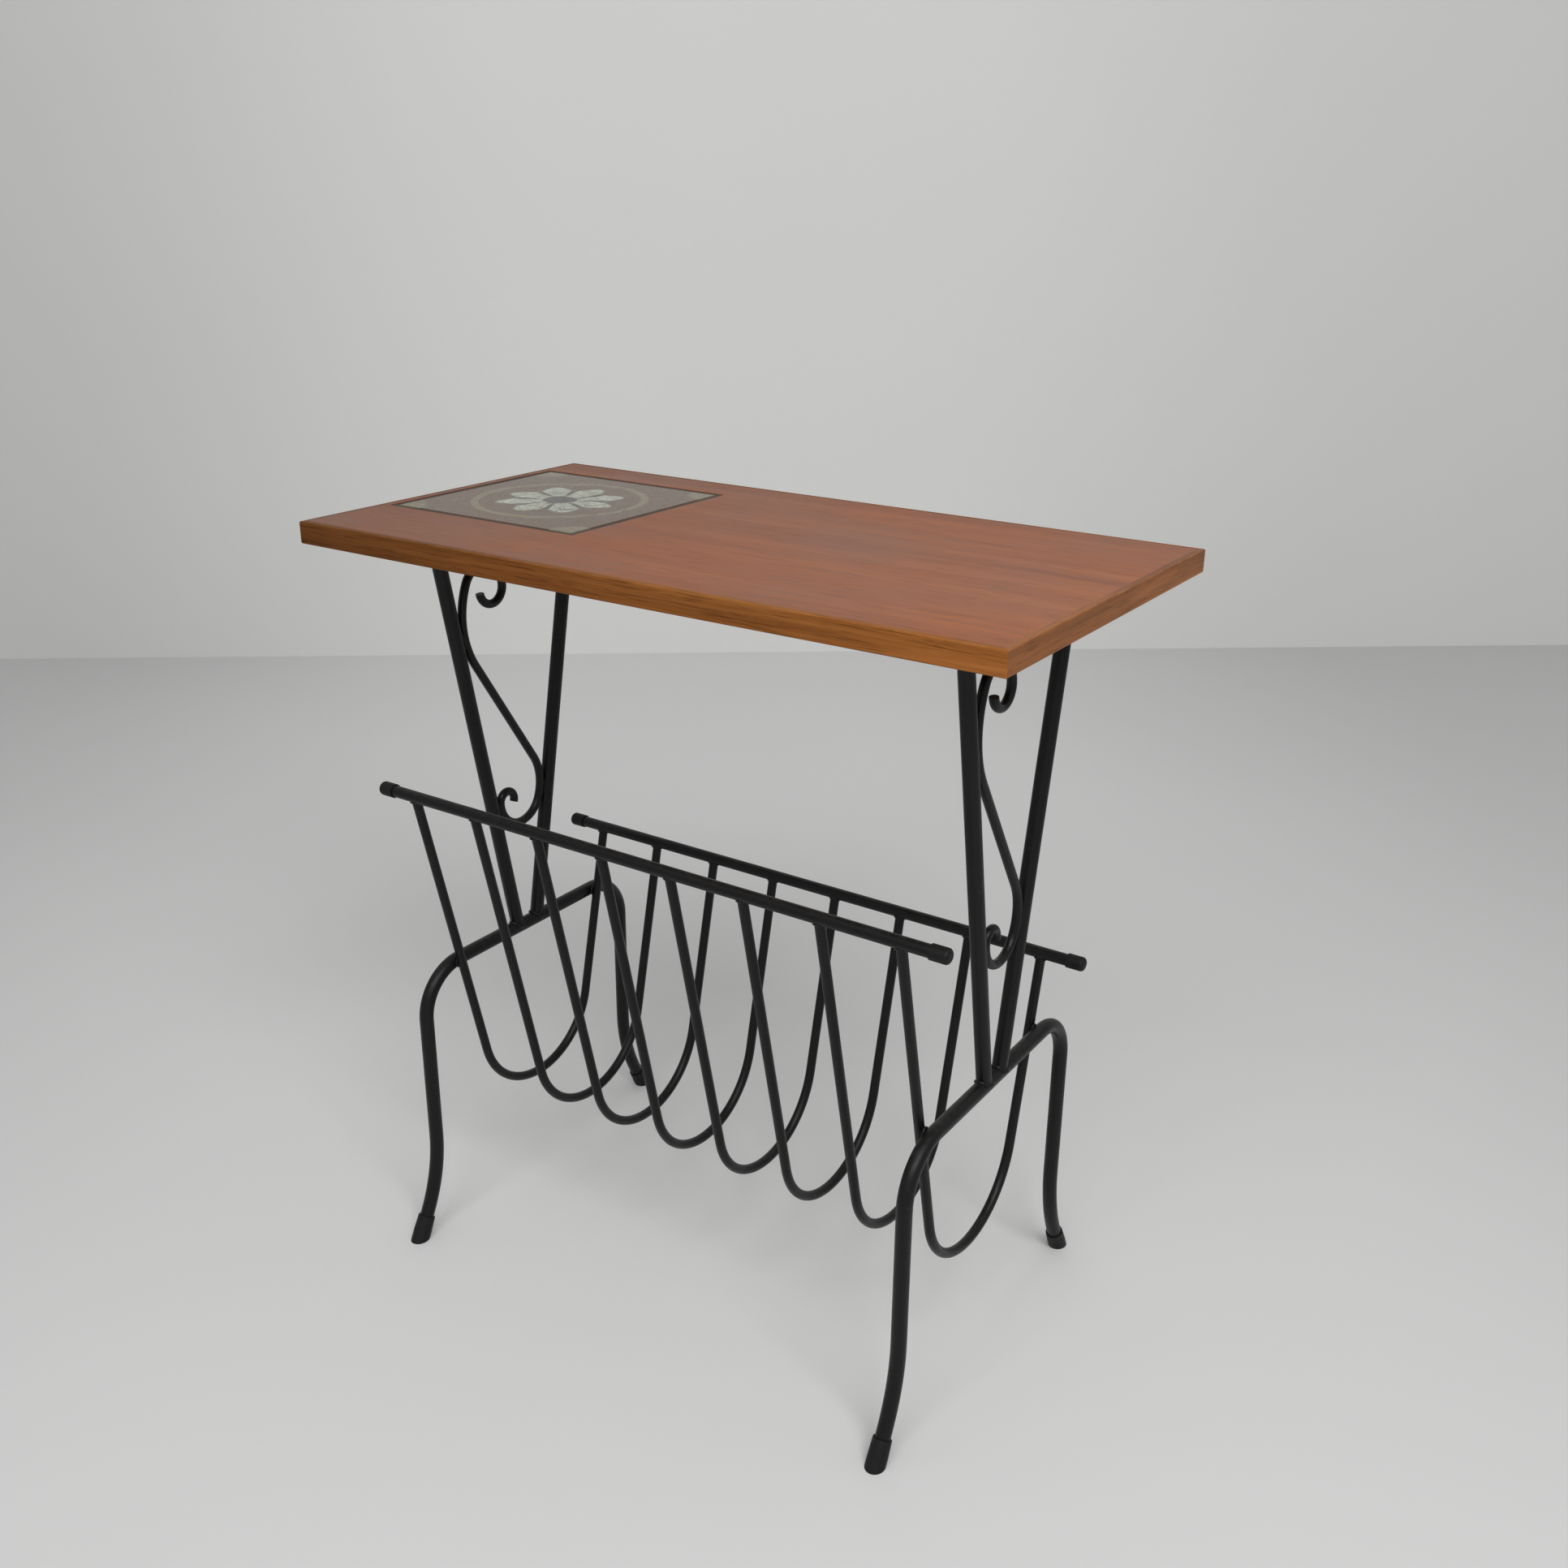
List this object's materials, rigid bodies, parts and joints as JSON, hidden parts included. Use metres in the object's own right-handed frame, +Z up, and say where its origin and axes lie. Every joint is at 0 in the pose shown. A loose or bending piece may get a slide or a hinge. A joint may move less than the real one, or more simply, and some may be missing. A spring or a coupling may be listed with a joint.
{
  "type": "magazine table",
  "caption": "Small side table with a veneered wooden top, an inset glazed tile, black rod legs with scrolls and a slung wire magazine rack.",
  "frame": {"origin": "on the floor midway between the four feet", "axes": "+X along the length of the top, away from the tile; +Y from the front (high rail) to the rear (low rail); +Z up"},
  "size_m": [0.5, 0.2758, 0.526],
  "materials": {
    "core_board": "bare chipboard",
    "top_veneer": "satin lacquered teak-like veneer",
    "backing_veneer": "unfinished veneer",
    "wood_lipping": "satin lacquered solid wood",
    "tile_glaze": "glossy glaze",
    "tile_border": "matte dark filler",
    "tile_adhesive": "matte",
    "black_steel": "satin black lacquer",
    "screw_steel": "plain steel",
    "black_rubber": "matte"
  },
  "bodies": {
    "root": {"top_core": "core_board", "face_veneer": "top_veneer", "backing_veneer": "backing_veneer", "lipping_front": "wood_lipping", "lipping_rear": "wood_lipping", "lipping_left": "wood_lipping", "lipping_right": "wood_lipping", "tile_bed": "tile_adhesive", "tile_border": "tile_border", "tile": "tile_glaze", "mounting_strap_left": "black_steel", "strap_screws_left": "screw_steel", "leg_arch_left": "black_steel", "scroll_left": "black_steel", "upright_front_left": "black_steel", "foot_tip_front_left": "black_rubber", "rail_tip_front_left": "black_rubber", "upright_rear_left": "black_steel", "foot_tip_rear_left": "black_rubber", "rail_tip_rear_left": "black_rubber", "mounting_strap_right": "black_steel", "strap_screws_right": "screw_steel", "leg_arch_right": "black_steel", "scroll_right": "black_steel", "upright_front_right": "black_steel", "foot_tip_front_right": "black_rubber", "rail_tip_front_right": "black_rubber", "upright_rear_right": "black_steel", "foot_tip_rear_right": "black_rubber", "rail_tip_rear_right": "black_rubber", "rail_front": "black_steel", "rail_rear": "black_steel", "rack_wire_1": "black_steel", "rack_wire_2": "black_steel", "rack_wire_3": "black_steel", "rack_wire_4": "black_steel", "rack_wire_5": "black_steel", "rack_wire_6": "black_steel", "rack_wire_7": "black_steel", "rack_wire_8": "black_steel"}
  },
  "joints": []
}
